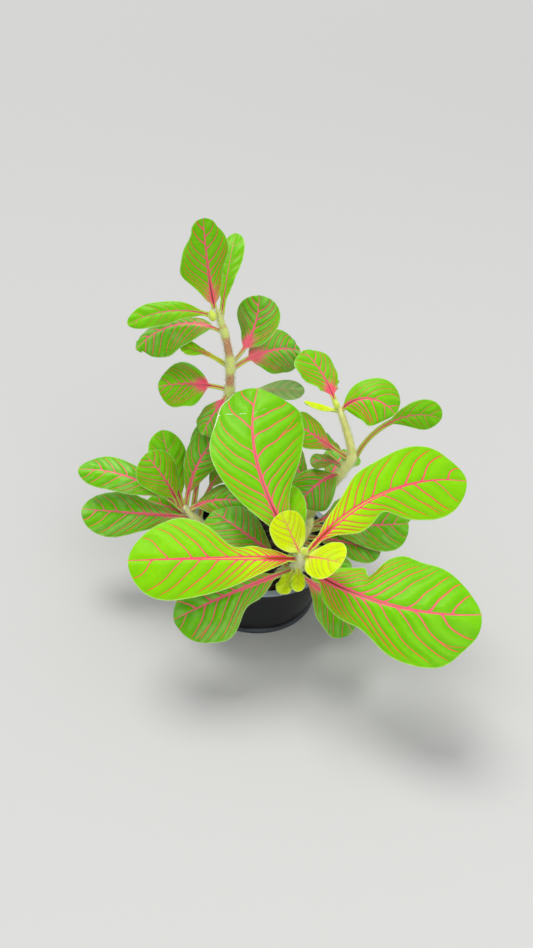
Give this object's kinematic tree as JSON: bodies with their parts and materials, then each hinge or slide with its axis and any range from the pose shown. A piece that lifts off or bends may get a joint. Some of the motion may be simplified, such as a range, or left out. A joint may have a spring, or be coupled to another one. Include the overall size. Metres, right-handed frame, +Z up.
{
  "type": "potted nerve plant",
  "caption": "Young nerve plant with spoon-shaped pink-veined leaves on branching stems, in a small squat tapered pot.",
  "frame": {"origin": "middle of the pot's flat base, at the surface it stands on", "axes": "+Z up, the plant's front faces -Y, +X to the right seen from the front"},
  "size_m": [0.1398, 0.1262, 0.1338],
  "materials": {
    "black_plastic": "satin",
    "potting_mix": "matte",
    "stem_pale": "matte",
    "stem_pink": "matte",
    "leaf_yellow": "satin",
    "leaf_lime": "satin",
    "leaf_green": "satin",
    "leaf_deep": "satin",
    "growing_tip": "matte"
  },
  "bodies": {
    "root": {"pot": "black_plastic", "potting_mix": "potting_mix", "front_stem": "stem_pale", "left_stem": "stem_pale", "tall_stem": "stem_pink", "right_stem": "stem_pale", "middle_stem": "stem_pale", "front_left_leaf": "leaf_lime", "front_back_leaf": "leaf_green", "front_right_leaf": "leaf_lime", "front_near_right_leaf": "leaf_green", "front_low_left_leaf": "leaf_deep", "front_low_right_leaf": "leaf_deep", "front_young_back_leaf": "leaf_yellow", "front_young_near_leaf": "leaf_yellow", "front_sprout_left_leaf": "leaf_lime", "front_sprout_right_leaf": "leaf_lime", "front_hidden_leaf": "leaf_lime", "front_inner_leaf": "leaf_deep", "left_far_leaf": "leaf_deep", "left_near_leaf": "leaf_deep", "left_upright_leaf": "leaf_green", "left_back_leaf": "leaf_green", "left_small_leaf": "leaf_green", "left_inner_leaf": "leaf_deep", "left_tall_leaf": "leaf_deep", "left_rear_leaf": "leaf_deep", "left_stalked_leaf": "leaf_deep", "tall_top_leaf": "leaf_green", "tall_top_rear_leaf": "leaf_green", "tall_upper_left_leaf": "leaf_green", "tall_drooping_leaf": "leaf_deep", "tall_small_leaf": "leaf_green", "tall_right_upright_leaf": "leaf_deep", "tall_right_leaf": "leaf_deep", "tall_left_round_leaf": "leaf_green", "tall_low_leaf": "leaf_deep", "tall_low_right_leaf": "leaf_deep", "right_top_leaf": "leaf_green", "right_drooping_leaf": "leaf_green", "right_outer_leaf": "leaf_deep", "right_young_leaf": "leaf_lime", "right_long_stalk_leaf": "leaf_deep", "right_inner_leaf": "leaf_deep", "right_low_leaf": "leaf_deep", "right_hanging_leaf": "leaf_deep", "middle_upright_leaf": "leaf_deep", "middle_outer_leaf": "leaf_deep", "middle_far_leaf": "leaf_green", "middle_near_leaf": "leaf_deep", "middle_low_leaf": "leaf_deep", "middle_small_leaf": "leaf_deep", "back_low_left_leaf": "leaf_deep", "back_low_right_leaf": "leaf_deep", "back_mid_leaf": "leaf_deep", "front_bud": "growing_tip", "tall_bud": "growing_tip", "right_bud": "growing_tip"}
  },
  "joints": []
}
